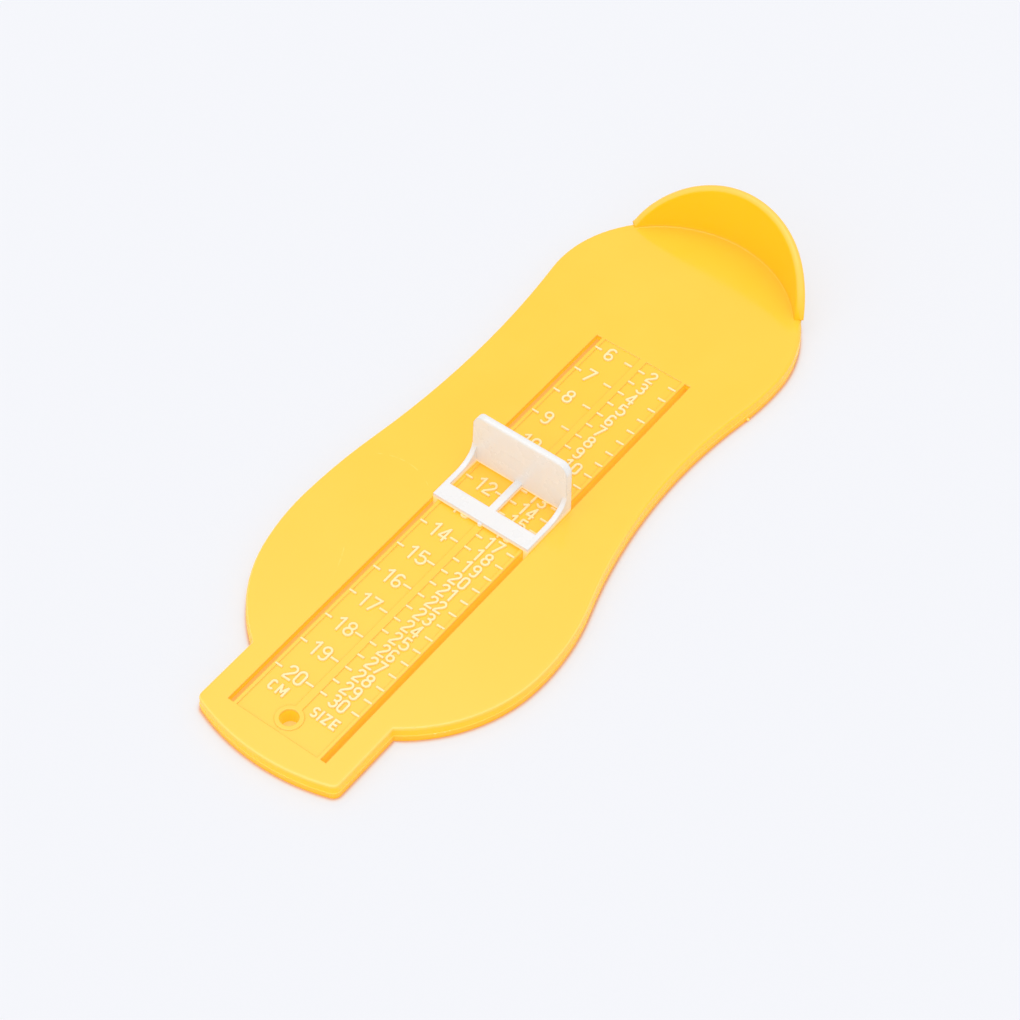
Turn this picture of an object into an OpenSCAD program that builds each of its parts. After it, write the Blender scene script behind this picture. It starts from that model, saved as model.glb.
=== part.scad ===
// Foot measuring device: a sole-shaped plate with a heel stop, two raised scales and a sliding toe stop.
// Millimetres. X across the ruler, +Y from the heel towards the toes, so Y is the length that is read, +Z up.
// The origin is the zero of the scale, on the ruler's centre line, on the surface that the plate lies on.

/* [Sole plate] */
// Height of the plate, from the table to the deck
plate_h = 5.5; // [4.8:0.1:8]
// Thickness of the deck
deck_t = 2; // [1.6:0.1:2.4]
// Thickness of the skirt under the rim
skirt_t = 1.8; // [1.2:0.1:2.4]
// Radius of the rim's top edge
edge_r = 0.7; // [0.4:0.1:1.2]
// Lean of the rim's side below the parting line
low_lean = 0.2; // [0.05:0.05:0.5]
// Lean of the rim's side above the parting line
high_lean = 0.05; // [0.05:0.05:0.4]
// Height of the parting line above the table
parting_z = 2.5; // [1.5:0.1:3]
// How far the lower half stands out at the parting line
parting_step = 0.1; // [0.05:0.05:0.3]

/* [Tail] */
// Width of the tail
tail_w = 46.2; // [46:0.1:50]
// Distance from the end of the scales to the tail's end
tail_past_scale = 24.6; // [23:0.2:32]
// Radius of the tail's end
tail_end_r = 64; // [50:1:120]
// Radius of the tail's corners
tail_corner_r = 2.6; // [1.5:0.1:4]

/* [Heel stop] */
// Height of the heel stop above the deck
heel_h = 19.8; // [12:0.1:28]
// Thickness of the heel stop
heel_t = 2.6; // [1.8:0.1:3]
// Radius of the heel stop's inner face
heel_r = 36.7; // [36.5:0.1:37.5]
// Angle from straight back to the heel stop's end on the centimetre side
heel_cm_angle = 50; // [40:0.5:55]
// Angle from straight back to the heel stop's end on the size side
heel_size_angle = 54; // [40:0.5:56]
// Angle by which the heel stop's highest point is turned towards the size side
heel_peak_turn = 4; // [-3:0.5:6]
// Radius at the foot of the heel stop's inner face
heel_foot_r = 0.6; // [0.2:0.1:0.6]

/* [Ruler] */
// Distance from the zero of the scale to the start of the slots
slot_start = 56; // [54:0.5:57]
// Distance from the end of the scales to the end of the slots
slot_past_scale = 16; // [14.5:0.5:17]
// Width of the strip between the slots
strip_w = 28.6; // [28:0.1:29.2]
// Width of each slot
slot_w = 1.9; // [1.7:0.1:2.4]
// Depth of the recessed scale panels
panel_depth = 0.4; // [0.2:0.1:0.8]
// Width of the lip between a slot and the scale panels
lip_w = 1; // [0.6:0.1:1.2]
// Width of the ridge between the scale panels
ridge_w = 2.2; // [1.6:0.1:2.4]
// Thickness of the guide rib under each edge of the strip
rib_t = 1.4; // [1:0.1:2]
// Height of the gap under the guide ribs
rib_gap = 0.8; // [0.4:0.1:1.5]

/* [Hanging hole] */
// Distance from the end of the scales to the hanging hole
hole_past_scale = 11; // [10:0.5:11.5]
// Diameter of the hanging hole
hole_d = 5.2; // [4:0.1:5.6]
// Width of the raised ring around the hanging hole
hole_ring_w = 1.3; // [0.8:0.1:1.5]

/* [Scale marks] */
// Height of the raised marks above the scale panels
mark_h = 0.5; // [0.3:0.05:0.6]
// Width of the graduation lines
line_w = 0.55; // [0.4:0.05:0.8]
// Height of the centimetre figures
cm_figure_h = 4.9; // [4:0.1:6]
// Height of the size figures
size_figure_h = 4.4; // [3.6:0.1:4.8]
// Width of a figure's stroke
stroke_w = 0.62; // [0.45:0.01:0.75]
// First centimetre of the scale
cm_first = 6; // [6:1:10]
// Last centimetre of the scale
cm_last = 20; // [15:1:20]
// First size of the scale
size_first = 2; // [2:1:10]
// Last size of the scale
size_last = 30; // [20:1:30]

/* [Slider] */
// Length that the toe stop reads
reading = 112.4; // [60:0.1:195]
// Width of the slider's frame
slider_w = 32; // [31.8:0.1:32]
// Length of the slider, from the toe stop's face to the front bar's far side
slider_l = 19.4; // [17:0.1:24]
// Thickness of the slider's bars
bar_t = 1.5; // [1.2:0.1:2.5]
// Length of the front bar along the ruler
front_bar_l = 5.4; // [3:0.1:7]
// Width of the middle bar
middle_bar_w = 2.2; // [1.5:0.1:3.5]
// Height of the toe stop above the deck
toe_h = 18.8; // [12:0.1:24]
// Thickness of the toe stop
toe_t = 2.2; // [1.8:0.1:3]
// How far each side of the toe stop leans in
toe_lean = 0.3; // [0.1:0.1:0.6]
// Radius of the toe stop's top corners
toe_corner_r = 4; // [2:0.1:6]
// Radius of the toe stop's edges
toe_edge_r = 0.7; // [0.3:0.1:0.8]
// Height of the side gussets above the side rails
gusset_h = 5.3; // [3:0.1:9]
// Length of the side gussets along the ruler
gusset_l = 7.6; // [4:0.1:9]
// Reach of the hooks under the deck
hook_reach = 1.3; // [0.8:0.1:2]
// Thickness of the hooks
hook_t = 1.2; // [0.8:0.1:1.4]
// Length of each hook along the ruler
hook_l = 5; // [3:0.5:6]
// Clearance between the slider and the plate
slide_clear = 0.2; // [0.15:0.05:0.3]

/* [Hidden] */
$fn = 96;

plate_yellow = [1, 0.80, 0.24];
heel_yellow = [1, 0.76, 0.16];
mark_cream = [1, 0.93, 0.66];
slider_white = [0.96, 0.95, 0.93];
toe_white = [0.94, 0.92, 0.88];

// The sole's outline is two chains of tangent arcs from the heel to the tail.
// A negative radius curves inwards.
cm_arc_radii = [36.7, -292.7, 188.7, 78.4, 46.2];
cm_arc_angles = [98, 16.2, 8.4, 15.3, 42.2];
size_arc_radii = [37.8, 87.3, -165.8, 72.2, 47];
size_arc_angles = [88.1, 11.7, 28.1, 22.4, 52.2];
heel_back = [4.75, 0.35];
heel_flat_w = 2.9;
rim_w = 8;
core_inset = 5;
core_step = 6;
region_margin = 2;
tail_start = 196.5;
tail_patch_inset = 1.6;
tail_patch_l = 8;

heel_centre = [4.6, 38];
heel_end_h = 0.35;
heel_cm_power = 0.76;
heel_size_power = 0.5;
heel_steps = 72;
foot_steps = 3;
crown_steps = 8;
heel_root = 2.9;
heel_overhang = 0.6;
low_crown = 0.6;
low_foot = 0.3;

// Strokes of the marks: where the graduation lines start and end, from the ruler's centre line
cm_outer_line = [11.65, 13.9];
cm_inner_line = [1.16, 3.76];
size_inner_line = [1.12, 3.22];
size_outer_line = [11.38, 13.9];
size_pitch = 5;
size_offset = 50;
cm_pitch = 10;
cm_figures_at = 10;
size_figures_at = 4.6;
letters_past_scale = 5.75;
letters_h = 3.4;
letter_pitch = 3.1;
cm_letters_at = 10.9;
size_letters_at = 3.2;
narrow_letters_w = 0.62;

nub_r = 0.7;
nub_t = 0.9;
hook_inset = 1;
eps = 0.05;

scale_end = max(cm_pitch * cm_last, size_offset + size_pitch * size_last);
slot_end = scale_end + slot_past_scale;
letters_y = scale_end + letters_past_scale;
hole_y = scale_end + hole_past_scale;
tail_end = scale_end + tail_past_scale;

deck_z = plate_h;
deck_under = plate_h - deck_t;
panel_z = deck_z - panel_depth;
panel_x = strip_w / 2 - lip_w;
hole_ring_r = hole_d / 2 + hole_ring_w;
tail_corner_x = tail_w / 2 - tail_corner_r;
tail_half_turn = asin(tail_corner_x / (tail_end_r - tail_corner_r));
tail_corner_y = tail_end - tail_end_r + (tail_end_r - tail_corner_r) * cos(tail_half_turn);

bar_z = deck_z + slide_clear;
bar_top = bar_z + bar_t;
leg_t = slot_w - 2 * slide_clear;
leg_x = strip_w / 2 + slide_clear;
leg_bottom = deck_under - slide_clear - hook_t;
toe_back = reading + toe_t;
slider_end = reading + slider_l;

// ---------------------------------------------------------------- the sole's outline

// An arc is [radius, angle that it turns by], and a stop of an outline's chain is [x, y, heading].
function arcs_of(radii, angles) = [for (i = [0:len(radii) - 1]) [radii[i], angles[i]]];
function left_of(h) = [cos(h + 90), sin(h + 90)];
function arc_centre(p, r) = [p[0], p[1]] + r * left_of(p[2]);
function arc_point(p, s, h, inset) = arc_centre(p, s[0]) - (s[0] - inset) * left_of(h);
function new_heading(p, s) = p[2] + sign(s[0]) * s[1];
function next_stop(p, s) =
    let (h = new_heading(p, s), q = arc_point(p, s, h, 0))
    [q[0], q[1], h];
function stops(p, arcs, i = 0) = i == len(arcs) ? [p] : concat([p], stops(next_stop(p, arcs[i]), arcs, i + 1));

// Points inside one chain of the outline, from the heel to the tail
function core_points(arcs, inset) =
    let (chain = stops([heel_flat_w / 2, 0, 0], arcs))
    [
        for (i = [0:len(arcs) - 1])
            let (n = ceil(arcs[i][1] / core_step), turn = new_heading(chain[i], arcs[i]) - chain[i][2])
            for (k = [0:n])
                if (k < n || i == len(arcs) - 1)
                    arc_point(chain[i], arcs[i], chain[i][2] + turn * k / n, inset)
    ];
function reversed(a) = [for (i = [len(a) - 1:-1:0]) a[i]];

cm_arcs = arcs_of(cm_arc_radii, cm_arc_angles);
size_arcs = arcs_of(size_arc_radii, size_arc_angles);

// The rim's section, with its outside towards +x for out = 1
module rim_section(out) {
    top = -parting_step - high_lean - edge_r;
    wall = [
        [-low_lean, 0], [0, parting_z], [-parting_step, parting_z + parting_step],
        [-parting_step - high_lean, deck_z - edge_r], [top, deck_z]
    ];
    inside = [[-rim_w, deck_z], [-rim_w, deck_under], [-skirt_t - low_lean, deck_under], [-skirt_t - low_lean, 0]];
    polygon([for (q = concat(wall, inside)) [out * q[0], q[1]]]);
    translate([out * top, deck_z - edge_r]) circle(edge_r);
}

// Places its children in two steps, to the nearest thousandth and then the rest, so that long arcs meet exactly.
module place(p) {
    near = [round(1000 * p[0]) / 1000, round(1000 * p[1]) / 1000];
    translate([near[0], near[1], 0])
        translate([p[0] - near[0], p[1] - near[1], 0])
            children();
}

// The region of one arc, reaching past both sides of the rim
module arc_region(p, s) {
    n = ceil(s[1] / core_step);
    turn = new_heading(p, s) - p[2];
    small = s[0] > 0 && s[0] < rim_w + region_margin;
    outer = [for (k = [0:n]) arc_point(p, s, p[2] + turn * k / n, -region_margin)];
    inner = [for (k = [n:-1:0]) arc_point(p, s, p[2] + turn * k / n, rim_w + region_margin)];
    translate([0, 0, -region_margin])
        linear_extrude(plate_h + 2 * region_margin)
            polygon(concat(outer, small ? [arc_centre(p, s[0])] : inner));
}

module rim_arc(p, s) {
    intersection() {
        place(arc_centre(p, s[0]))
            rotate_extrude() {
                intersection() {
                    place([abs(s[0]), 0])
                        rim_section(sign(s[0]));
                    square([abs(s[0]) + rim_w, plate_h]);
                }
            }
        arc_region(p, s);
    }
}

module rim_line(p, length) {
    translate([p[0], p[1], 0])
        rotate([90, 0, p[2] + 90])
            linear_extrude(length)
                rim_section(-1);
}

module rim_chain(arcs) {
    chain = stops([heel_flat_w / 2, 0, 0], arcs);
    for (i = [0:len(arcs) - 1]) {
        rim_arc(chain[i], arcs[i]);
    }
}

module sole_deck() {
    cm_points = core_points(cm_arcs, core_inset);
    size_points = [for (q = core_points(size_arcs, core_inset)) [-q[0], q[1]]];
    translate([heel_back[0], heel_back[1], 0]) {
        rim_chain(cm_arcs);
        mirror([1, 0, 0]) rim_chain(size_arcs);
        rim_line([-heel_flat_w / 2, 0, 0], heel_flat_w);
        translate([0, 0, deck_under])
            linear_extrude(deck_t)
                polygon(concat(cm_points, reversed(size_points)));
    }
}

module tail_side() {
    corner = [tail_corner_r, 90 - tail_half_turn];
    start = [tail_w / 2, tail_start, 90];
    corner_start = [tail_w / 2, tail_corner_y, 90];
    rim_line(start, tail_corner_y - tail_start);
    rim_arc(corner_start, corner);
    rim_arc(next_stop(corner_start, corner), [tail_end_r, tail_half_turn + eps]);
}

module tail() {
    inner_w = tail_w - 2 * core_inset;
    patch_w = tail_w - 2 * tail_patch_inset;
    tail_side();
    mirror([1, 0, 0]) tail_side();
    translate([0, 0, deck_under]) {
        linear_extrude(deck_t) {
            translate([-inner_w / 2, tail_start - tail_patch_l])
                square([inner_w, tail_end - core_inset - tail_start + tail_patch_l]);
            translate([-patch_w / 2, tail_start - tail_patch_l])
                square([patch_w, tail_patch_l]);
        }
    }
}

// ---------------------------------------------------------------- the heel stop

// A point at a distance from the heel's centre, at an angle from straight back towards the size side
function heel_point(r, a) = heel_centre + r * [-sin(a), -cos(a)];

function heel_top(a) =
    let (
        size_side = a > heel_peak_turn,
        reach = size_side ? heel_size_angle - heel_peak_turn : heel_cm_angle + heel_peak_turn,
        part = min(1, abs(a - heel_peak_turn) / reach)
    )
    max(heel_end_h, heel_h * pow(1 - part * part, size_side ? heel_size_power : heel_cm_power));

// Angles of the heel stop's sections, closer together towards its ends
function heel_angle(k) =
    let (middle = (heel_size_angle - heel_cm_angle) / 2, half = (heel_size_angle + heel_cm_angle) / 2)
    middle - half * cos(180 * k / heel_steps);

function heel_section(a) =
    let (
        top = heel_top(a),
        crown_r = heel_t / 2,
        crown_h = min(crown_r, top * low_crown),
        foot_h = min(heel_foot_r, top * low_foot),
        crown_z = deck_z + top - crown_h
    )
    concat(
        [[heel_r + heel_t, deck_z], [heel_r - foot_h, deck_z]],
        [
            for (k = [1:foot_steps])
                [heel_r - foot_h, deck_z + foot_h]
                    + foot_h * [sin(90 * k / foot_steps), -cos(90 * k / foot_steps)]
        ],
        [
            for (k = [0:crown_steps])
                let (t = 180 * k / crown_steps)
                [heel_r + crown_r - crown_r * cos(t), crown_z + crown_h * sin(t)]
        ]
    );

module heel_wall() {
    sections = [for (k = [0:heel_steps]) heel_section(heel_angle(k))];
    n = len(sections[0]);
    points = [
        for (k = [0:heel_steps])
            for (q = sections[k])
                let (xy = heel_point(q[0], heel_angle(k)))
                [xy[0], xy[1], q[1]]
    ];
    sides = [
        for (k = [0:heel_steps - 1])
            for (i = [0:n - 1])
                [k * n + i, k * n + (i + 1) % n, (k + 1) * n + (i + 1) % n, (k + 1) * n + i]
    ];
    ends = [[for (i = [n - 1:-1:0]) i], [for (i = [0:n - 1]) heel_steps * n + i]];
    polyhedron(points, concat(sides, ends));
}

module heel_buttress() {
    root = heel_t + heel_root - heel_overhang;
    translate([heel_centre[0], heel_centre[1], 0])
        rotate([0, 0, -90 - heel_size_angle])
            rotate_extrude(angle = heel_size_angle + heel_cm_angle)
                translate([heel_r - heel_root, 0])
                    square([root, plate_h]);
}

// ---------------------------------------------------------------- the ruler

module guide_rib() {
    translate([strip_w / 2 - rib_t, slot_start - rib_t, rib_gap])
        cube([rib_t, slot_end - slot_start + 2 * rib_t, deck_z - rib_gap - panel_depth]);
}

module slot() {
    translate([strip_w / 2, slot_start, -eps])
        cube([slot_w, slot_end - slot_start, plate_h + 2 * eps]);
}

module panels() {
    translate([0, 0, panel_z]) {
        linear_extrude(panel_depth + eps) {
            difference() {
                translate([-panel_x, slot_start])
                    square([2 * panel_x, slot_end - slot_start]);
                translate([-ridge_w / 2, slot_start])
                    square([ridge_w, hole_y - slot_start]);
                translate([0, hole_y])
                    circle(hole_ring_r);
            }
        }
    }
}

module sole_plate() color(plate_yellow) difference() {
    union() {
        sole_deck();
        tail();
        heel_buttress();
        guide_rib();
        mirror([1, 0, 0]) guide_rib();
        translate([0, hole_y, 0])
            cylinder(h = deck_z, r = hole_ring_r);
    }
    slot();
    mirror([1, 0, 0]) slot();
    panels();
    translate([0, hole_y, -eps])
        cylinder(h = plate_h + 2 * eps, d = hole_d);
}

module heel_stop() color(heel_yellow) heel_wall();

// ---------------------------------------------------------------- the scale marks

// Figures are drawn to the right and upwards, from the lower left corner, and then turned to face the toes.
module bar(from, to, w) {
    d = to - from;
    translate([from[0], from[1], 0])
        rotate([0, 0, atan2(d[1], d[0])])
            translate([0, -w / 2, 0])
                cube([norm(d), w, mark_h]);
}

module bend(centre, r, from, turn, w) {
    translate([centre[0], centre[1], 0])
        rotate([0, 0, from])
            rotate_extrude(angle = turn)
                translate([r - w / 2, 0])
                    square([w, mark_h]);
}

// Sizes of a figure of height h, along the middle of its strokes
function figure_w(h, w) = 0.56 * h - w;

module digit_0(h, w) {
    r = figure_w(h, w) / 2;
    x = w / 2 + r;
    bend([x, h - w / 2 - r], r, 0, 180, w);
    bend([x, w / 2 + r], r, 180, 180, w);
    bar([w / 2, w / 2 + r], [w / 2, h - w / 2 - r], w);
    bar([w / 2 + 2 * r, w / 2 + r], [w / 2 + 2 * r, h - w / 2 - r], w);
}

module digit_1(h, w) {
    x = w / 2 + 0.62 * figure_w(h, w);
    bar([x, 0], [x, h], w);
    bar([w / 2, 0.74 * h], [x, h - w / 2], w);
}

module digit_2(h, w) {
    r = figure_w(h, w) / 2;
    x = w / 2 + r;
    y = h - w / 2 - r;
    a = 38;
    bend([x, y], r, -a, 180 + a, w);
    bar([0.3 * w, w], [x + r * cos(a), y - r * sin(a)], w);
    bar([0, w / 2], [w + 2 * r, w / 2], w);
}

module digit_3(h, w) {
    upper = (h - w) * 0.235;
    lower = (h - w) * 0.265;
    x = w / 2 + lower;
    bend([x, h - w / 2 - upper], upper, -115, 275, w);
    bend([x, w / 2 + lower], lower, -160, 275, w);
}

module digit_4(h, w) {
    x = w / 2 + 0.74 * figure_w(h, w);
    y = 0.27 * h;
    bar([x, 0], [x, h], w);
    bar([0, y], [w + figure_w(h, w), y], w);
    bar([0.25 * w, y], [x, h - 0.35 * w], w);
}

module digit_5(h, w) {
    r = (h - w) * 0.31;
    x = w / 2 + r;
    y = w / 2 + r;
    top = [x - r * cos(35), y + r * sin(35)];
    bend([x, y], r, -155, 300, w);
    bar(top, [w, h - w / 2], w);
    bar([0.75 * w, h - w / 2], [figure_w(h, w) + 0.8 * w, h - w / 2], w);
}

module digit_6(h, w) {
    r = figure_w(h, w) / 2;
    x = w / 2 + r;
    tall = h - w - 2 * r;
    bend([x, w / 2 + r], r, 0, 360, w);
    bend([x, h - w / 2 - r], r, 30, 150, w);
    bar([w / 2, w / 2 + r], [w / 2, w / 2 + r + tall], w);
}

module digit_7(h, w) {
    right = w / 2 + figure_w(h, w);
    bar([0, h - w / 2], [right + w / 2, h - w / 2], w);
    bar([0.32 * right, 0], [right, h - w / 2], w);
}

module digit_8(h, w) {
    lower = (h - w) * 0.27;
    upper = (h - w) * 0.23;
    x = w / 2 + lower;
    bend([x, w / 2 + lower], lower, 0, 360, w);
    bend([x, h - w / 2 - upper], upper, 0, 360, w);
}

module digit_9(h, w) {
    translate([w + figure_w(h, w), h, 0])
        rotate([0, 0, 180])
            digit_6(h, w);
}

module digit(n, h, w) {
    if (n == 0) digit_0(h, w);
    if (n == 1) digit_1(h, w);
    if (n == 2) digit_2(h, w);
    if (n == 3) digit_3(h, w);
    if (n == 4) digit_4(h, w);
    if (n == 5) digit_5(h, w);
    if (n == 6) digit_6(h, w);
    if (n == 7) digit_7(h, w);
    if (n == 8) digit_8(h, w);
    if (n == 9) digit_9(h, w);
}

module number(n, h) {
    pitch = figure_w(h, stroke_w) + 1.55 * stroke_w;
    if (n > 9) digit(floor(n / 10), h, stroke_w);
    translate([n > 9 ? pitch : 0, 0, 0])
        digit(n % 10, h, stroke_w);
}

// Places a figure's lower left corner at x, with the middle of its height at y.
module on_panel(x, y, h) {
    translate([x, y + h / 2, panel_z])
        rotate([0, 0, 180])
            children();
}

// A graduation line from one distance to another from the centre line; it climbs onto the lip and the ridge.
module line(side, ends, y) {
    low = max(ends[0], ridge_w / 2);
    high = min(ends[1], panel_x);
    mirror([side > 0 ? 0 : 1, 0, 0]) {
        translate([low, y - line_w / 2, panel_z])
            cube([high - low, line_w, mark_h]);
        if (ends[1] > panel_x)
            translate([panel_x, y - line_w / 2, deck_z])
                cube([ends[1] - panel_x, line_w, mark_h - panel_depth]);
    }
}

module cm_lines() color(mark_cream) {
    for (n = [cm_first:cm_last]) {
        line(1, cm_outer_line, cm_pitch * n);
        line(1, cm_inner_line, cm_pitch * n);
    }
}

module cm_figures() color(mark_cream) {
    for (n = [cm_first:cm_last]) {
        on_panel(cm_figures_at, cm_pitch * n, cm_figure_h)
            number(n, cm_figure_h);
    }
}

module size_lines() color(mark_cream) {
    for (n = [size_first:size_last]) {
        line(-1, size_inner_line, size_offset + size_pitch * n);
        line(-1, size_outer_line, size_offset + size_pitch * n);
    }
}

module size_figures() color(mark_cream) {
    for (n = [size_first:size_last]) {
        on_panel(-size_figures_at, size_offset + size_pitch * n, size_figure_h)
            number(n, size_figure_h);
    }
}

module letter_c(h, w) {
    r = figure_w(h, w) / 2;
    x = w / 2 + r;
    tall = h - w - 2 * r;
    bend([x, h - w / 2 - r], r, 20, 160, w);
    bend([x, w / 2 + r], r, 180, 160, w);
    bar([w / 2, w / 2 + r], [w / 2, w / 2 + r + tall], w);
}

module letter_m(h, w) {
    span = 0.78 * h - w;
    bar([w / 2, 0], [w / 2, h], w);
    bar([w / 2 + span, 0], [w / 2 + span, h], w);
    bar([w / 2, h - w / 4], [w / 2 + span / 2, 0.25 * h], w);
    bar([w / 2 + span / 2, 0.25 * h], [w / 2 + span, h - w / 4], w);
}

module letter_s(h, w) {
    r = (h - w) / 4;
    x = w / 2 + r;
    bend([x, h - w / 2 - r], r, 30, 240, w);
    bend([x, w / 2 + r], r, -150, 240, w);
}

module letter_i(h, w) {
    bar([w / 2, 0], [w / 2, h], w);
}

module letter_z(h, w) {
    span = figure_w(h, w) + w;
    bar([0, h - w / 2], [span, h - w / 2], w);
    bar([0, w / 2], [span, w / 2], w);
    bar([0.5 * w, w / 2], [span - 0.5 * w, h - w / 2], w);
}

module letter_e(h, w) {
    span = figure_w(h, w) + w;
    bar([w / 2, 0], [w / 2, h], w);
    bar([w / 2, w / 2], [span, w / 2], w);
    bar([w / 2, h / 2], [0.9 * span, h / 2], w);
    bar([w / 2, h - w / 2], [span, h - w / 2], w);
}

module unit_letters() color(mark_cream) {
    h = letters_h;
    w = narrow_letters_w;
    on_panel(cm_letters_at, letters_y, h) {
        letter_c(h, w);
        translate([letter_pitch - w / 2, 0, 0]) letter_m(h, w);
    }
    on_panel(-size_letters_at, letters_y, h) {
        letter_s(h, w);
        translate([0.8 * letter_pitch, 0, 0]) letter_i(h, w);
        translate([1.2 * letter_pitch, 0, 0]) letter_z(h, w);
        translate([2.05 * letter_pitch, 0, 0]) letter_e(h, w);
    }
}

// ---------------------------------------------------------------- the slider

// A side of the slider from the side: leg, rail and the gusset behind the toe stop
module side_profile() {
    difference() {
        union() {
            translate([reading, leg_bottom])
                square([slider_l, bar_z - leg_bottom]);
            translate([toe_back, leg_bottom])
                square([slider_end - toe_back, bar_top - leg_bottom]);
            translate([toe_back, bar_z])
                square([gusset_l, bar_t + gusset_h]);
        }
        translate([toe_back + gusset_l, bar_top + gusset_h])
            scale([gusset_l, gusset_h])
                circle(1);
    }
}

module slider_side() {
    translate([leg_x, 0, 0])
        rotate([90, 0, 90])
            linear_extrude(leg_t)
                side_profile();
    for (y = [reading + hook_inset, slider_end - hook_inset - hook_l]) {
        hook(y);
    }
}

module hook(y) {
    toe = [[0.3 * hook_reach, 0], [hook_reach, 0.6 * hook_t]];
    translate([leg_x + leg_t, y + hook_l, leg_bottom])
        rotate([90, 0, 0])
            linear_extrude(hook_l)
                polygon(concat([[-eps, 0]], toe, [[hook_reach, hook_t], [-eps, hook_t]]));
}

module slider_frame() color(slider_white) {
    translate([-slider_w / 2, slider_end - front_bar_l, bar_z])
        cube([slider_w, front_bar_l, bar_t]);
    translate([-middle_bar_w / 2, toe_back, bar_z])
        cube([middle_bar_w, slider_l - toe_t - eps, bar_t]);
    slider_side();
    mirror([1, 0, 0]) slider_side();
    translate([0, slider_end, bar_z])
        cylinder(h = nub_t, r = nub_r);
}

module toe_front() {
    side = slider_w / 2;
    x = side - toe_lean - toe_corner_r;
    top = deck_z + toe_h;
    corner_z = top - toe_corner_r;
    polygon([[-side, bar_z], [side, bar_z], [side - toe_lean, corner_z], [toe_lean - side, corner_z]]);
    translate([-x, bar_z])
        square([2 * x, top - bar_z]);
    for (way = [-1, 1]) {
        translate([way * x, corner_z])
            circle(toe_corner_r);
    }
}

module toe_side() {
    top = deck_z + toe_h;
    translate([reading, bar_z])
        square([toe_t, top - toe_edge_r - bar_z]);
    translate([reading + toe_edge_r, bar_z])
        square([toe_t - 2 * toe_edge_r, top - bar_z]);
    for (y = [reading + toe_edge_r, toe_back - toe_edge_r]) {
        translate([y, top - toe_edge_r])
            circle(toe_edge_r);
    }
}

module toe_stop() color(toe_white) intersection() {
    translate([0, toe_back + eps, 0])
        rotate([90, 0, 0])
            linear_extrude(toe_t + 2 * eps)
                toe_front();
    translate([-slider_w / 2 - eps, 0, 0])
        rotate([90, 0, 90])
            linear_extrude(slider_w + 2 * eps)
                toe_side();
}

sole_plate();
heel_stop();
cm_lines();
cm_figures();
size_lines();
size_figures();
unit_letters();
slider_frame();
toe_stop();
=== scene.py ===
import math

import bpy
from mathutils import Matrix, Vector


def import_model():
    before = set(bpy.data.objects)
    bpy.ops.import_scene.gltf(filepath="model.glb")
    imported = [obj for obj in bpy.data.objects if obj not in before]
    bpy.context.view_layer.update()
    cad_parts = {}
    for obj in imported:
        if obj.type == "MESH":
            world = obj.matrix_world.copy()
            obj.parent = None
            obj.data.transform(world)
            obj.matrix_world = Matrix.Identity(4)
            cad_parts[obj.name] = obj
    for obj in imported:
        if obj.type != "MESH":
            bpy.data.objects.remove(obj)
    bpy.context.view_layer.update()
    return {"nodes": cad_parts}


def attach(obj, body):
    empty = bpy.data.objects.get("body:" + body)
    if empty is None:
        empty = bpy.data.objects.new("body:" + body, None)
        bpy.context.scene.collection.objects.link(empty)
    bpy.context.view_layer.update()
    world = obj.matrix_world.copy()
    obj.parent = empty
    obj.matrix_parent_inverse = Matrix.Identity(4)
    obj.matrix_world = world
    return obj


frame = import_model()

MM = 0.001
PLATE_TOP = 5.5 * MM
PANEL_TOP = 5.1 * MM
PARTING_LINE = 2.5 * MM
BAR_BOTTOM = 5.7 * MM
TOE_BACK = 114.6 * MM
GUSSET_TOP = 12.2 * MM
# Half the ruler's width with its ribs, and the y of both its ends
RULER_HALF = 16.9 * MM
RULER_ENDS = (53 * MM, 217.5 * MM)
# Faint scuffs on the deck: middle x and y, radius, lowest and highest x, in millimetres
SCUFFS = [(28.9, 143.1, 16.5, 20, 37), (77.0, 188.0, 60.0, 20.5, 24.2)]
# Specks on the rim: name, x and y nearby, length, height, and z, in millimetres
SPECKS = [
    ("gate_mark", -36.4, 52.9, 1.0, 0.8, 1.0),
    ("flash_speck_1", -33.0, 192.3, 1.3, 0.22, 2.5),
    ("flash_speck_2", -34.6, 190.4, 0.9, 0.26, 2.5),
    ("flash_speck_3", -35.6, 189.3, 0.7, 0.18, 2.5),
]

# Colours of parts of the plate, the heel stop and the slider
# Painted sheen: the deck is paler towards the tail
TAIL_SHEEN_YELLOW = (0.995, 0.560, 0.058, 1)
# Painted shade: the wall is a deeper orange below the parting line, near the floor
LOW_WALL_SHADE = (0.998, 0.51, 0.010, 1)
HIGH_WALL = (0.998, 0.56, 0.004, 1)
# Painted highlight on the plate's top edges; on the rim at the heel the edges are painted a purer yellow without it,
# for how the broader rounding there takes the light
HEEL_RIM_EDGE_NO_HIGHLIGHT = (0.995, 0.555, 0.012, 1)
EDGE_HIGHLIGHT = (0.995, 0.62, 0.12, 1)
# Painted highlight on the parting line
SEAM_HIGHLIGHT = (0.995, 0.69, 0.10, 1)
SCUFF_YELLOW = (0.995, 0.70, 0.14, 1)
# Painted light that comes through the thin ribs beside the slots
RIB_LIGHT = (0.998, 0.74, 0.015, 1)
# Painted highlight on the heel stop's crown, where it faces up
CROWN_HIGHLIGHT = (0.97, 0.56, 0.075, 1)
# Painted bounce light from the deck on the slider's foot
FOOT_BOUNCE_LIGHT = (0.92, 0.66, 0.40, 1)

# Painted glow: emission colours that stand for the light that comes through each plastic
GLOW_AMBER = (1.0, 0.58, 0.09)
HEEL_GLOW_AMBER = (1.0, 0.55, 0.02)
SLIDER_GLOW_WHITE = (1.0, 0.92, 0.82, 1)
FOOT_GLOW_AMBER = (1.0, 0.58, 0.18, 1)


# ---------------------------------------------------------------- node helpers

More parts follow.
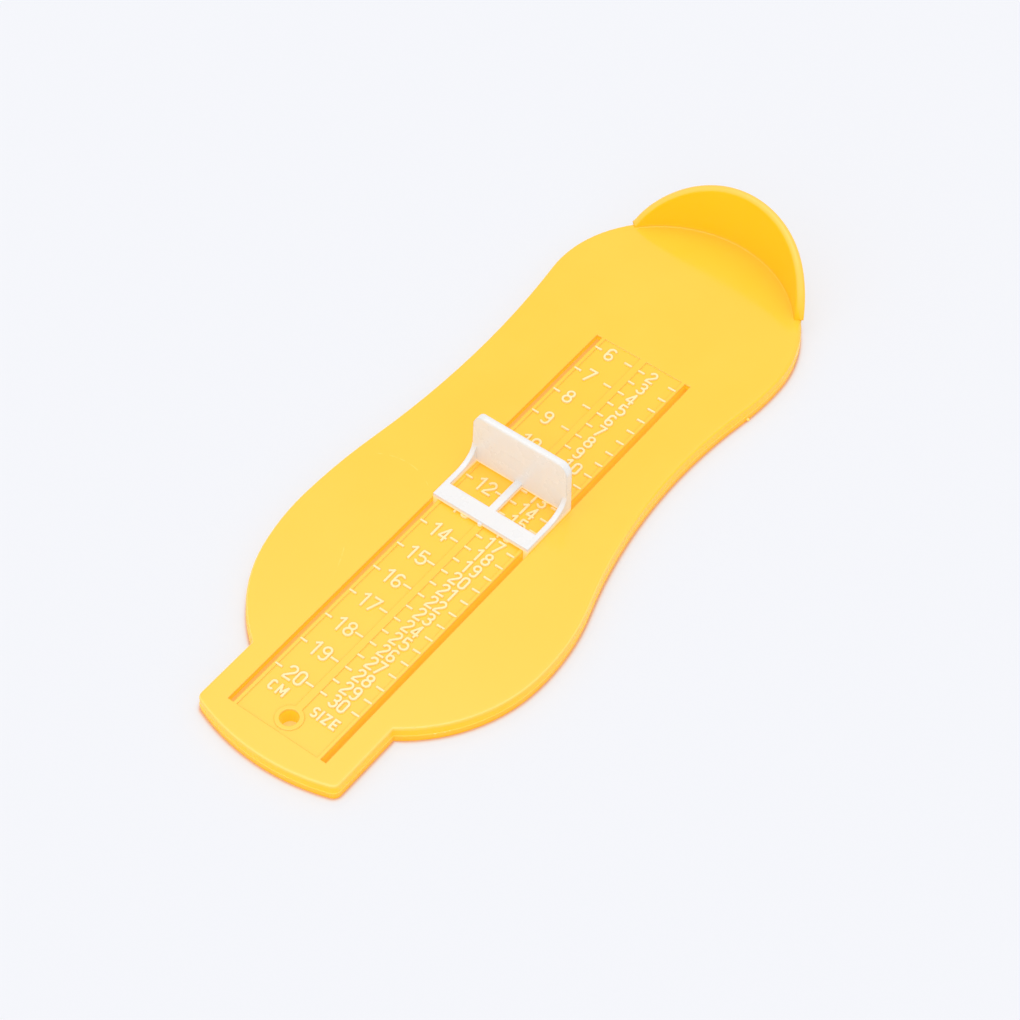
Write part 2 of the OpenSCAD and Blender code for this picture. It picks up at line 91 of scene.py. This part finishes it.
class Tree:
    """A material's node tree, with short calls for adding and joining nodes."""

    def __init__(self, name):
        self.material = bpy.data.materials.new(name)
        self.material.use_nodes = True
        # The glows are too faint to be worth aiming light samples at
        self.material.cycles.emission_sampling = "NONE"
        self.nodes = self.material.node_tree.nodes
        self.links = self.material.node_tree.links
        self.shader = self.nodes["Principled BSDF"]

    def add(self, kind, **inputs):
        node = self.nodes.new(kind)
        for name, value in inputs.items():
            self.put(node.inputs[name.replace("_", " ")], value)
        return node

    def put(self, socket, value):
        if isinstance(value, bpy.types.NodeSocket):
            self.links.new(value, socket)
        else:
            socket.default_value = value

    def set(self, name, value):
        self.put(self.shader.inputs[name], value)

    def place(self):
        return self.add("ShaderNodeTexCoord").outputs["Object"]

    def where(self):
        """The x, y and z of the point, in the object's frame."""
        return self.add("ShaderNodeSeparateXYZ", Vector=self.place()).outputs

    def noise(self, scale, detail=2.0, rough=0.5):
        node = self.add("ShaderNodeTexNoise", Vector=self.place(), Scale=scale, Detail=detail, Roughness=rough)
        return node.outputs["Fac"]

    def scuff(self, x, y, radius, low_x, high_x):
        """A thin broken line along the arc round x, y, from low_x to high_x."""
        flat = self.add("ShaderNodeVectorMath", Vector=self.place())
        flat.operation = "MULTIPLY"
        flat.inputs[1].default_value = (1, 1, 0)
        away = self.nodes.new("ShaderNodeVectorMath")
        away.operation = "DISTANCE"
        self.put(away.inputs[0], flat.outputs["Vector"])
        away.inputs[1].default_value = (x, y, 0)
        off = self.math("ABSOLUTE", self.math("SUBTRACT", away.outputs["Value"], radius))
        line = self.remap(off, 0.22 * MM, 0.05 * MM)
        broken = self.remap(self.noise(420.0, 2.0, 0.6), 0.42, 0.6)
        where = self.where()
        ends = self.math("MULTIPLY", self.between(where[0], low_x, high_x, 1 * MM),
                         self.remap(where[1], y + 0.2 * MM, y - 0.2 * MM))
        return self.math("MULTIPLY", self.math("MULTIPLY", line, broken), ends)

    def remap(self, value, low, high, to_low=0.0, to_high=1.0):
        node = self.nodes.new("ShaderNodeMapRange")
        node.interpolation_type = "SMOOTHSTEP"
        for i, v in enumerate((value, low, high, to_low, to_high)):
            self.put(node.inputs[i], v)
        return node.outputs["Result"]

    def between(self, value, low, high, soft):
        """1 from low to high, falling to 0 within soft on both sides."""
        return self.math("MULTIPLY", self.remap(value, low - soft, low), self.remap(value, high + soft, high))

    def math(self, operation, a, b=0.0):
        node = self.nodes.new("ShaderNodeMath")
        node.operation = operation
        self.put(node.inputs[0], a)
        self.put(node.inputs[1], b)
        return node.outputs["Value"]

    def mix(self, factor, a, b, kind="RGBA"):
        """A mix of two colours, or with kind VECTOR of two vectors."""
        node = self.nodes.new("ShaderNodeMix")
        node.data_type = kind
        for name, value in (("Factor", factor), ("A", a), ("B", b)):
            wanted = "VALUE" if name == "Factor" else kind
            self.put([s for s in node.inputs if s.name == name and s.type == wanted][0], value)
        return [s for s in node.outputs if s.type == kind][0]

    def past(self, seams):
        """0 at each seam, a plane (axis, place, side), and 1 from 0.3 mm on its side of it."""
        where = self.where()
        value = None
        for axis, place, side in seams:
            step = self.remap(where[axis], place, place + side * 0.3 * MM)
            value = self.math("MINIMUM", value, step) if value else step
        return value

    def normal(self, edge, bumps, seams):
        """Rounded edges away from the seams, and then each (height, strength, distance) of bumps on top."""
        node = self.nodes.new("ShaderNodeBevel")
        node.samples = 8
        self.put(node.inputs["Radius"], edge)
        normal = node.outputs["Normal"]
        if seams:
            plain = self.add("ShaderNodeNewGeometry").outputs["Normal"]
            normal = self.mix(self.past(seams), plain, normal, "VECTOR")
        for height, strength, distance in bumps:
            normal = self.add("ShaderNodeBump", Height=height, Strength=strength, Distance=distance,
                              Normal=normal).outputs["Normal"]
        return normal


def plastic(name, base, other, roughness, edge, seams=(), peel=0.08, swell=0.10, tint=None, ior=1.55,
            gloss=0.5, glow=(1, 1, 1), level=0.0):
    """Moulded plastic: base colour clouded with other, glossy, with a faint orange peel and swell. Its edges are
    rounded to the radius edge, except at the seams, where the real moulding goes on. The glow, of strength level,
    is painted light: emission that stands for the light that comes through it. tint, edge, gloss, glow and level may
    be functions of the tree."""
    t = Tree(name)
    cloud = t.remap(t.noise(28.0, 3.0, 0.55), 0.35, 0.7)
    colour = t.mix(cloud, (*base, 1), (*other, 1))
    t.set("Base Color", tint(t, colour) if tint else colour)
    t.set("Emission Color", glow(t) if callable(glow) else (*glow, 1))
    t.set("Emission Strength", level(t) if callable(level) else level)
    t.set("Roughness", t.remap(t.noise(90.0, 4.0, 0.6), 0.3, 0.7, roughness - 0.03, roughness + 0.04))
    t.set("IOR", ior)
    t.set("Specular IOR Level", gloss(t) if callable(gloss) else gloss)
    fine = t.noise(1500.0, 3.0, 0.5)
    broad = t.noise(45.0, 2.0, 0.5)
    edge = edge(t) if callable(edge) else edge
    bumps = [(broad, swell, 0.4 * MM), (fine, peel, 0.02 * MM)]
    t.set("Normal", t.normal(edge, bumps, seams))
    return t.material


def plate_colour_and_painted_light(t, colour):
    """The deck is paler at the tail, a painted sheen. The walls are purer than the deck, with painted shade below the
    parting line, and the edges have a painted highlight, but not on the rim at the heel, which keeps a purer yellow
    for how its broader rounding takes the light. The parting line has a painted highlight, a few scuffs show, and the
    thin ribs beside the slots are lighter, as painted light that comes through them."""
    x, y, z = t.where()
    across = t.math("ABSOLUTE", x)
    # Painted sheen towards the tail
    colour = t.mix(t.math("MULTIPLY", t.remap(y, 90 * MM, 215 * MM), 0.7), colour, TAIL_SHEEN_YELLOW)
    low = t.remap(z, 5.05 * MM, 4.3 * MM)
    # Painted shade on the wall below the parting line
    wall = t.mix(t.remap(z, PARTING_LINE - 0.5 * MM, PARTING_LINE), LOW_WALL_SHADE, HIGH_WALL)
    colour = t.mix(low, colour, wall)
    # Painted highlight on the top edges, left off on the rim at the heel
    pale = t.math("MAXIMUM", t.remap(across, 18 * MM, 17.5 * MM), t.remap(y, 90 * MM, 135 * MM))
    edges = t.between(z, 5.2 * MM, 5.44 * MM, 0.04 * MM)
    colour = t.mix(edges, colour, t.mix(pale, HEEL_RIM_EDGE_NO_HIGHLIGHT, EDGE_HIGHLIGHT))
    # Painted highlight on the parting line
    seam = t.between(z, 2.42 * MM, 2.62 * MM, 0.15 * MM)
    colour = t.mix(t.math("MULTIPLY", seam, 0.6), colour, SEAM_HIGHLIGHT)
    for arc in SCUFFS:
        scuff = t.scuff(*[v * MM for v in arc])
        colour = t.mix(t.math("MULTIPLY", scuff, 0.5), colour, SCUFF_YELLOW)
    # Painted light through the thin ribs beside the slots
    ruler = t.math("MULTIPLY", t.remap(across, RULER_HALF, RULER_HALF - 0.3 * MM),
                   t.between(y, *RULER_ENDS, 1 * MM))
    return t.mix(t.math("MULTIPLY", ruler, low), colour, RIB_LIGHT)


def plate_rounding(t):
    """The radius of the plate's rounded edges, which is larger on the rim towards the heel."""
    x, y, _ = t.where()
    rim = t.remap(t.math("ABSOLUTE", x), 18 * MM, 21 * MM)
    heel_end = t.remap(y, 125 * MM, 75 * MM)
    return t.math("ADD", t.math("MULTIPLY", t.math("MULTIPLY", rim, heel_end), 0.65 * MM), 0.35 * MM)


def plate_gloss(t):
    """The plate's walls are less glossy than its deck."""
    return t.remap(t.where()[2], 4.6 * MM, 5.2 * MM, 0.2, 0.5)


def heel_crown_light(t, colour):
    """The heel stop's crown, where it faces up, is paler than its walls: a painted highlight."""
    normal = t.add("ShaderNodeNewGeometry").outputs["Normal"]
    up = t.add("ShaderNodeSeparateXYZ", Vector=normal).outputs[2]
    above = t.remap(t.where()[2], 5.8 * MM, 6.8 * MM, 0.15, 1.0)
    return t.mix(t.math("MULTIPLY", t.remap(up, 0.15, 0.85), above), colour, CROWN_HIGHLIGHT)


def slider_foot(t):
    """1 at the bottom of the slider's bars, falling to 0 just above."""
    return t.remap(t.where()[2], BAR_BOTTOM + 0.8 * MM, BAR_BOTTOM)


def slider_tint(t, colour):
    """The slider is warmer near the deck, which lights it from below."""
    return t.mix(slider_foot(t), colour, FOOT_BOUNCE_LIGHT)


# Painted glow: warm white all over and amber at the foot, for light from the deck
def slider_glow(t):
    return t.mix(slider_foot(t), SLIDER_GLOW_WHITE, FOOT_GLOW_AMBER)


# Painted glow strength: faint all over, stronger at the foot
def slider_level(t):
    return t.math("ADD", t.math("MULTIPLY", slider_foot(t), 0.4), 0.06)


# The plate, heel stop and flash specks glow with painted light, emission for the light that comes through the plastic
plate = plastic("plate_yellow", (0.995, 0.530, 0.027), (0.995, 0.545, 0.033), 0.14, plate_rounding,
                [(2, 3.2 * MM, 1)], tint=plate_colour_and_painted_light, ior=1.65, gloss=plate_gloss, glow=GLOW_AMBER, level=0.12)
heel = plastic("heel_yellow", (0.995, 0.555, 0.008), (0.995, 0.565, 0.012), 0.16, 0.8 * MM,
               [(2, PLATE_TOP, 1)], tint=heel_crown_light, glow=HEEL_GLOW_AMBER, level=0.10)
flash = plastic("flash_yellow", (0.995, 0.68, 0.17), (0.995, 0.66, 0.14), 0.2, 0.1 * MM,
                glow=GLOW_AMBER, level=0.2)
# The marks are moulded in the plate's plastic; their paler colour is a painted highlight on their raised tops
marks = plastic("mark_cream", (0.995, 0.81, 0.44), (0.995, 0.78, 0.36), 0.30, 0.2 * MM,
                [(2, PANEL_TOP, 1)])
frame_white = plastic("frame_white", (0.76, 0.755, 0.76), (0.77, 0.765, 0.77), 0.28, 0.35 * MM,
                      [(1, TOE_BACK, 1), (2, BAR_BOTTOM, 1)], peel=0.01, swell=0.04,
                      tint=slider_tint, glow=slider_glow, level=slider_level)
toe_white = plastic("toe_white", (0.77, 0.768, 0.765), (0.78, 0.778, 0.775), 0.28, 0.5 * MM,
                    [(2, GUSSET_TOP, 1)], peel=0.01, swell=0.04,
                    tint=slider_tint, glow=slider_glow, level=slider_level)

LOOKS = {
    "sole_plate": plate,
    "heel_stop": heel,
    "cm_lines": marks,
    "cm_figures": marks,
    "size_lines": marks,
    "size_figures": marks,
    "unit_letters": marks,
    "slider_frame": frame_white,
    "toe_stop": toe_white,
}
for name, look in LOOKS.items():
    for s in frame["nodes"][name].material_slots:
        s.material = look


# ---------------------------------------------------------------- smooth wall of the heel stop

def smooth_group():
    """Geometry nodes that shade a mesh smooth, except along its sharp edges."""
    group = bpy.data.node_groups.new("smooth_shading", "GeometryNodeTree")
    group.interface.new_socket("Geometry", in_out="INPUT", socket_type="NodeSocketGeometry")
    group.interface.new_socket("Geometry", in_out="OUTPUT", socket_type="NodeSocketGeometry")
    start = group.nodes.new("NodeGroupInput")
    end = group.nodes.new("NodeGroupOutput")
    faces = group.nodes.new("GeometryNodeSetShadeSmooth")
    edges = group.nodes.new("GeometryNodeSetShadeSmooth")
    edges.domain = "EDGE"
    angle = group.nodes.new("GeometryNodeInputMeshEdgeAngle")
    below = group.nodes.new("FunctionNodeCompare")
    below.operation = "LESS_EQUAL"
    below.inputs["B"].default_value = math.radians(38)
    group.links.new(angle.outputs["Unsigned Angle"], below.inputs["A"])
    group.links.new(below.outputs["Result"], edges.inputs["Shade Smooth"])
    group.links.new(start.outputs[0], faces.inputs["Geometry"])
    group.links.new(faces.outputs["Geometry"], edges.inputs["Geometry"])
    group.links.new(edges.outputs["Geometry"], end.inputs[0])
    return group


heel_stop = frame["nodes"]["heel_stop"]
heel_stop.modifiers.new("weld", "WELD").merge_threshold = 0.002 * MM
heel_stop.modifiers.new("smooth", "NODES").node_group = smooth_group()


# ---------------------------------------------------------------- floor, light and camera

FLOOR = (0.81, 0.818, 0.856, 1)
BACKGROUND = (0.91, 0.92, 0.96, 1)
# The share of the plain background that the camera sees in the floor
PALER = 0.6
# Painted pool of light on the floor under and beside the plate: its colour and glow
LIT_PAPER = (0.80, 0.46, 0.27, 1)
LIT_GLOW = (1.0, 0.68, 0.16, 1)
DOME = 0.695
# (height and turn of the middle), edge and core as angles from it, strength above the dome's
SOFT_LIGHTS = [((85, 150), 38, 12, 1.3), ((12, -18), 105, 15, 0.45)]
CAMERA_PLACE = (-0.269184, 0.490284, 0.564637)
CAMERA_TURN = (39.04917, -1.05396, -142.81165)
LENS = 94.22


def show_paler(t, share):
    """The camera sees this share of the plain background in the floor, and the rest as it is lit."""
    seen = t.add("ShaderNodeEmission", Color=BACKGROUND, Strength=1.0).outputs[0]
    path = t.nodes.new("ShaderNodeLightPath")
    mix = t.nodes.new("ShaderNodeMixShader")
    t.put(mix.inputs["Fac"], t.math("MULTIPLY", path.outputs["Is Camera Ray"], share))
    t.links.new(t.shader.outputs[0], mix.inputs[1])
    t.links.new(seen, mix.inputs[2])
    t.links.new(mix.outputs[0], t.nodes["Material Output"].inputs["Surface"])


def floor():
    t = Tree("floor_paper")
    t.set("Base Color", FLOOR)
    t.set("Roughness", 0.9)
    t.set("Specular IOR Level", 0.1)
    show_paler(t, PALER)
    mesh = bpy.data.meshes.new("floor")
    half = 8.0
    corners = [(-half, -half, 0), (half, -half, 0), (half, half, 0), (-half, half, 0)]
    mesh.from_pydata(corners, [], [(0, 1, 2, 3)])
    mesh.materials.append(t.material)
    o = bpy.data.objects.new("floor", mesh)
    o.location = (0, 0.1, -0.02 * MM)
    bpy.context.scene.collection.objects.link(o)


def bottom_outline():
    """The outer edge of the plate's bottom, as a loop of points."""
    mesh = frame["nodes"]["sole_plate"].data
    key = lambda co: (round(co.x / MM, 3), round(co.y / MM, 3))
    faces = [p for p in mesh.polygons if p.normal.z < -0.9 and p.center.z < 0.05 * MM]
    count = {}
    for p in faces:
        corners = [key(mesh.vertices[i].co) for i in p.vertices]
        for pair in map(frozenset, zip(corners, corners[1:] + corners[:1])):
            count[pair] = count.get(pair, 0) + 1
    after = {}
    for a, b in [tuple(e) for e, n in count.items() if n == 1 and len(e) == 2]:
        after.setdefault(a, []).append(b)
        after.setdefault(b, []).append(a)
    start = min(after, key=lambda q: q[1])
    loop, previous = [start], None
    while len(loop) < len(after) + 1:
        ahead = [q for q in after[loop[-1]] if q != previous]
        previous = loop[-1]
        if ahead[0] == start and len(loop) > 2:
            break
        loop.append(ahead[0])
    return [Vector((x * MM, y * MM, 0)) for x, y in loop]


def offset_loop(loop, reach):
    """The loop moved outwards by reach."""
    area = sum(a.x * b.y - b.x * a.y for a, b in zip(loop, loop[1:] + loop[:1]))
    way = 1 if area > 0 else -1
    moved = []
    for i, q in enumerate(loop):
        ahead = loop[(i + 1) % len(loop)] - loop[i - 1]
        moved.append(q + Vector((ahead.y, -ahead.x, 0)).normalized() * reach * way)
    return moved


def speck(name, x, y, length, height, z):
    """A speck of flash or a gate mark on the rim, nearest to x, y, in millimetres: a small bulged ridge."""
    near = Vector((x * MM, y * MM, 0))
    n = len(OUTLINE)
    i = min(range(n), key=lambda k: (OUTLINE[k] - near).length)
    along = (OUTLINE[(i + 1) % n] - OUTLINE[i - 1]).normalized()
    out = offset_loop(OUTLINE, MM)[i] - OUTLINE[i]
    out.normalize()
    foot = OUTLINE[i] + along * (near - OUTLINE[i]).dot(along) + out * 0.12 * MM + Vector((0, 0, z * MM))
    rings, sides = 10, 12
    points = []
    for k in range(1, rings):
        swell = math.sin(math.pi * k / rings) ** 0.6 * (1 + 0.18 * math.sin(5.3 * k))
        for j in range(sides):
            turn = 2 * math.pi * j / sides
            rise = Vector((0, 0, math.sin(turn) * 0.7 * height * swell))
            side = out * math.cos(turn) * height * swell + rise
            points.append(foot + (along * length * (k / rings - 0.5) + side) * MM)
    faces = [
        (k * sides + j, k * sides + (j + 1) % sides, (k + 1) * sides + (j + 1) % sides, (k + 1) * sides + j)
        for k in range(rings - 2) for j in range(sides)
    ]
    last = (rings - 2) * sides
    faces += [tuple(range(sides - 1, -1, -1)), tuple(range(last, last + sides))]
    mesh = bpy.data.meshes.new(name)
    mesh.from_pydata(points, [], faces)
    mesh.materials.append(flash)
    mesh.shade_smooth()
    o = bpy.data.objects.new(name, mesh)
    bpy.context.scene.collection.objects.link(o)
    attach(o, "gauge")


def lit_floor():
    """A painted pool of amber light on the floor under and beside the plate, standing for the light that comes
    through the thin plastic.
    """
    loop = OUTLINE
    # (reach past the plate in millimetres, share of the light)
    rings = [(-2.2, 1.0), (-0.4, 1.0), (0.0, 0.9), (0.3, 0.7), (0.6, 0.4), (1.0, 0.16), (1.5, 0.05), (2.2, 0.0)]
    n = len(loop)
    points = [q for reach, _ in rings for q in offset_loop(loop, reach * MM)]
    faces = [
        (k * n + i, k * n + (i + 1) % n, (k + 1) * n + (i + 1) % n, (k + 1) * n + i)
        for k in range(len(rings) - 1) for i in range(n)
    ]
    mesh = bpy.data.meshes.new("floor_lit")
    mesh.from_pydata(points, [], faces + [tuple(range(n))])
    light = mesh.attributes.new("light", "FLOAT", "POINT")
    light.data.foreach_set("value", [value for _, value in rings for _ in range(n)])
    t = Tree("floor_lit")
    level = t.nodes.new("ShaderNodeAttribute")
    level.attribute_name = "light"
    t.set("Base Color", t.mix(level.outputs["Fac"], FLOOR, LIT_PAPER))
    t.set("Roughness", 0.9)
    t.set("Specular IOR Level", 0.1)
    t.set("Emission Color", LIT_GLOW)
    t.set("Emission Strength", t.remap(level.outputs["Fac"], 0.9, 1.0, 0.0, 0.42))
    show_paler(t, t.remap(level.outputs["Fac"], 0.0, 0.7, PALER, 0.0))
    mesh.materials.append(t.material)
    o = bpy.data.objects.new("floor_lit", mesh)
    o.location = (0, 0, 0.02 * MM)
    bpy.context.scene.collection.objects.link(o)


def sky_direction(height, turn):
    """The direction at a height above the horizon and a turn from +Y towards +X, in degrees."""
    height, turn = math.radians(height), math.radians(turn)
    return (math.cos(height) * math.sin(turn), math.cos(height) * math.cos(turn), math.sin(height))


def world():
    """A pale dome with two broad soft lights in it: one high behind the heel and one low in front of the tail."""
    w = bpy.data.worlds.new("studio")
    w.use_nodes = True
    nodes, links = w.node_tree.nodes, w.node_tree.links
    nodes.clear()
    where = nodes.new("ShaderNodeTexCoord").outputs["Generated"]
    level = None
    for towards, edge, core, power in SOFT_LIGHTS:
        dot = nodes.new("ShaderNodeVectorMath")
        dot.operation = "DOT_PRODUCT"
        links.new(where, dot.inputs[0])
        dot.inputs[1].default_value = sky_direction(*towards)
        glow = nodes.new("ShaderNodeMapRange")
        glow.interpolation_type = "SMOOTHSTEP"
        links.new(dot.outputs["Value"], glow.inputs[0])
        glow.inputs[1].default_value = math.cos(math.radians(edge))
        glow.inputs[2].default_value = math.cos(math.radians(core))
        glow.inputs[3].default_value = 0.0 if level else DOME
        glow.inputs[4].default_value = power + (0.0 if level else DOME)
        if level:
            total = nodes.new("ShaderNodeMath")
            links.new(level, total.inputs[0])
            links.new(glow.outputs["Result"], total.inputs[1])
            level = total.outputs["Value"]
        else:
            level = glow.outputs["Result"]
    light = nodes.new("ShaderNodeBackground")
    light.inputs["Color"].default_value = (1, 1, 1, 1)
    links.new(level, light.inputs["Strength"])
    seen = nodes.new("ShaderNodeBackground")
    seen.inputs["Color"].default_value = BACKGROUND
    path = nodes.new("ShaderNodeLightPath")
    mix = nodes.new("ShaderNodeMixShader")
    out = nodes.new("ShaderNodeOutputWorld")
    links.new(path.outputs["Is Camera Ray"], mix.inputs["Fac"])
    links.new(light.outputs[0], mix.inputs[1])
    links.new(seen.outputs[0], mix.inputs[2])
    links.new(mix.outputs[0], out.inputs["Surface"])
    bpy.context.scene.world = w


def camera():
    data = bpy.data.cameras.new("camera")
    data.sensor_width = 36
    data.sensor_fit = "HORIZONTAL"
    data.lens = LENS
    data.clip_start = 0.01
    data.clip_end = 40
    o = bpy.data.objects.new("camera", data)
    o.location = CAMERA_PLACE
    o.rotation_euler = [math.radians(v) for v in CAMERA_TURN]
    bpy.context.scene.collection.objects.link(o)
    bpy.context.scene.camera = o


OUTLINE = bottom_outline()
for row in SPECKS:
    speck(*row)
floor()
lit_floor()
world()
camera()

bpy.context.scene.view_settings.view_transform = "Standard"
